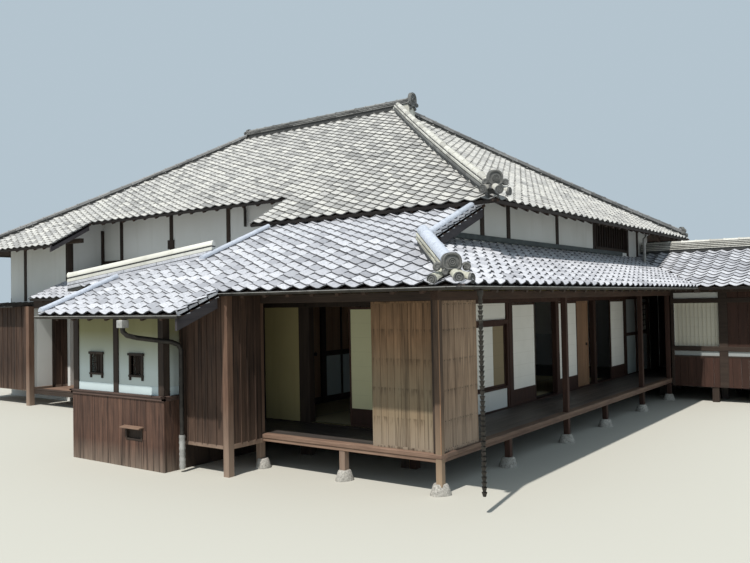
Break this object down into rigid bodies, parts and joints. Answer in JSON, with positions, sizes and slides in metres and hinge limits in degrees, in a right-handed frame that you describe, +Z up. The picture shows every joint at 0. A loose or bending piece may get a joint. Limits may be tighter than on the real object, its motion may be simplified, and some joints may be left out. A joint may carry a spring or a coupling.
{
  "type": "minka farmhouse",
  "caption": "Japanese farmhouse with a hipped clay-tile roof, white plaster walls, lower tiled roofs, an open veranda with sliding shutters and paper screens, and a small wing.",
  "frame": {"origin": "on the ground, at the centre of the whole house's box in plan", "axes": "+X along the front towards the right-hand veranda, +Y from the front to the back, +Z up"},
  "size_m": [17.4, 14.4702, 6.9643],
  "materials": {
    "roof_tile": "smoked clay tile, satin silver-grey",
    "white_plaster": "matt lime plaster",
    "dark_timber": "dark stained cedar, matt",
    "brown_board": "aged cedar board, matt",
    "weathered_board": "sun-bleached cedar board",
    "screen_paper": "washi paper on a fine wooden lattice",
    "dark_copper": "darkened copper sheet"
  },
  "bodies": {
    "house": {"main_roof_front": "roof_tile", "main_roof_back": "roof_tile", "main_roof_left": "roof_tile", "main_roof_right": "roof_tile", "front_lower_roof": "roof_tile", "right_lower_roof": "roof_tile", "wing_roof": "roof_tile", "left_lower_roof": "roof_tile", "middle_lower_roof": "roof_tile", "plank_bay_roof": "roof_tile", "main_ridge": "roof_tile", "near_hip_ridge": "roof_tile", "far_hip_ridge": "roof_tile", "left_hip_ridge": "roof_tile", "back_hip_ridge": "roof_tile", "lower_hip_ridge": "roof_tile", "wing_ridge": "roof_tile", "right_verge": "roof_tile", "upper_left_verge": "roof_tile", "lower_left_verge": "roof_tile", "plastered_ridge": "white_plaster", "upper_right_wall": "white_plaster", "upper_front_wall": "white_plaster", "upper_middle_wall": "white_plaster", "left_wing_wall": "white_plaster", "left_wall": "white_plaster", "back_wall": "white_plaster", "inner_front_wall": "white_plaster", "bath_front_wall": "white_plaster", "bath_right_wall": "white_plaster", "entry_wall": "white_plaster", "wing_front_wall": "white_plaster", "wing_back_wall": "white_plaster", "right_barge_board": "dark_timber", "left_barge_board": "dark_timber", "upper_lattice_window": "dark_timber", "inner_right_wall": "dark_timber", "right_veranda_frame": "dark_timber", "front_veranda_frame": "dark_timber", "entry_frame": "dark_timber", "room_partition": "brown_board", "veranda_floor": "brown_board", "room_floor": "brown_board", "plank_closet": "brown_board", "bath_dado": "brown_board", "plank_bay": "brown_board", "wing_floor": "brown_board", "window_screens": "screen_paper", "wing_window_screen": "screen_paper", "right_gutter": "dark_copper", "front_gutter": "dark_copper", "porch_gutter": "dark_copper", "rain_chain": "dark_copper"},
    "front_shutter": {"front_shutter": "weathered_board"},
    "right_shutter": {"right_shutter": "weathered_board"},
    "right_screen_near": {"right_screen_near": "screen_paper"},
    "right_screen_middle": {"right_screen_middle": "screen_paper"},
    "right_board_door": {"right_board_door": "weathered_board"},
    "right_screen_far": {"right_screen_far": "screen_paper"},
    "front_screen": {"front_screen": "screen_paper"}
  },
  "joints": [
    {"name": "front_shutter_slide", "type": "slide", "parent": "house", "child": "front_shutter", "axis": [-1, 0, 0], "range_m": [0, 1.78]},
    {"name": "right_shutter_slide", "type": "slide", "parent": "house", "child": "right_shutter", "axis": [0, 1, 0], "range_m": [0, 2.77]},
    {"name": "right_screen_near_slide", "type": "slide", "parent": "house", "child": "right_screen_near", "axis": [0, 1, 0], "range_m": [0, 0.87]},
    {"name": "right_screen_middle_slide", "type": "slide", "parent": "house", "child": "right_screen_middle", "axis": [0, 1, 0], "range_m": [0, 0.86]},
    {"name": "right_board_door_slide", "type": "slide", "parent": "house", "child": "right_board_door", "axis": [0, 1, 0], "range_m": [-0.71, 0.17]},
    {"name": "right_screen_far_slide", "type": "slide", "parent": "house", "child": "right_screen_far", "axis": [0, -1, 0], "range_m": [0, 0.87]},
    {"name": "front_screen_slide", "type": "slide", "parent": "house", "child": "front_screen", "axis": [-1, 0, 0], "range_m": [0, 0.73]}
  ]
}
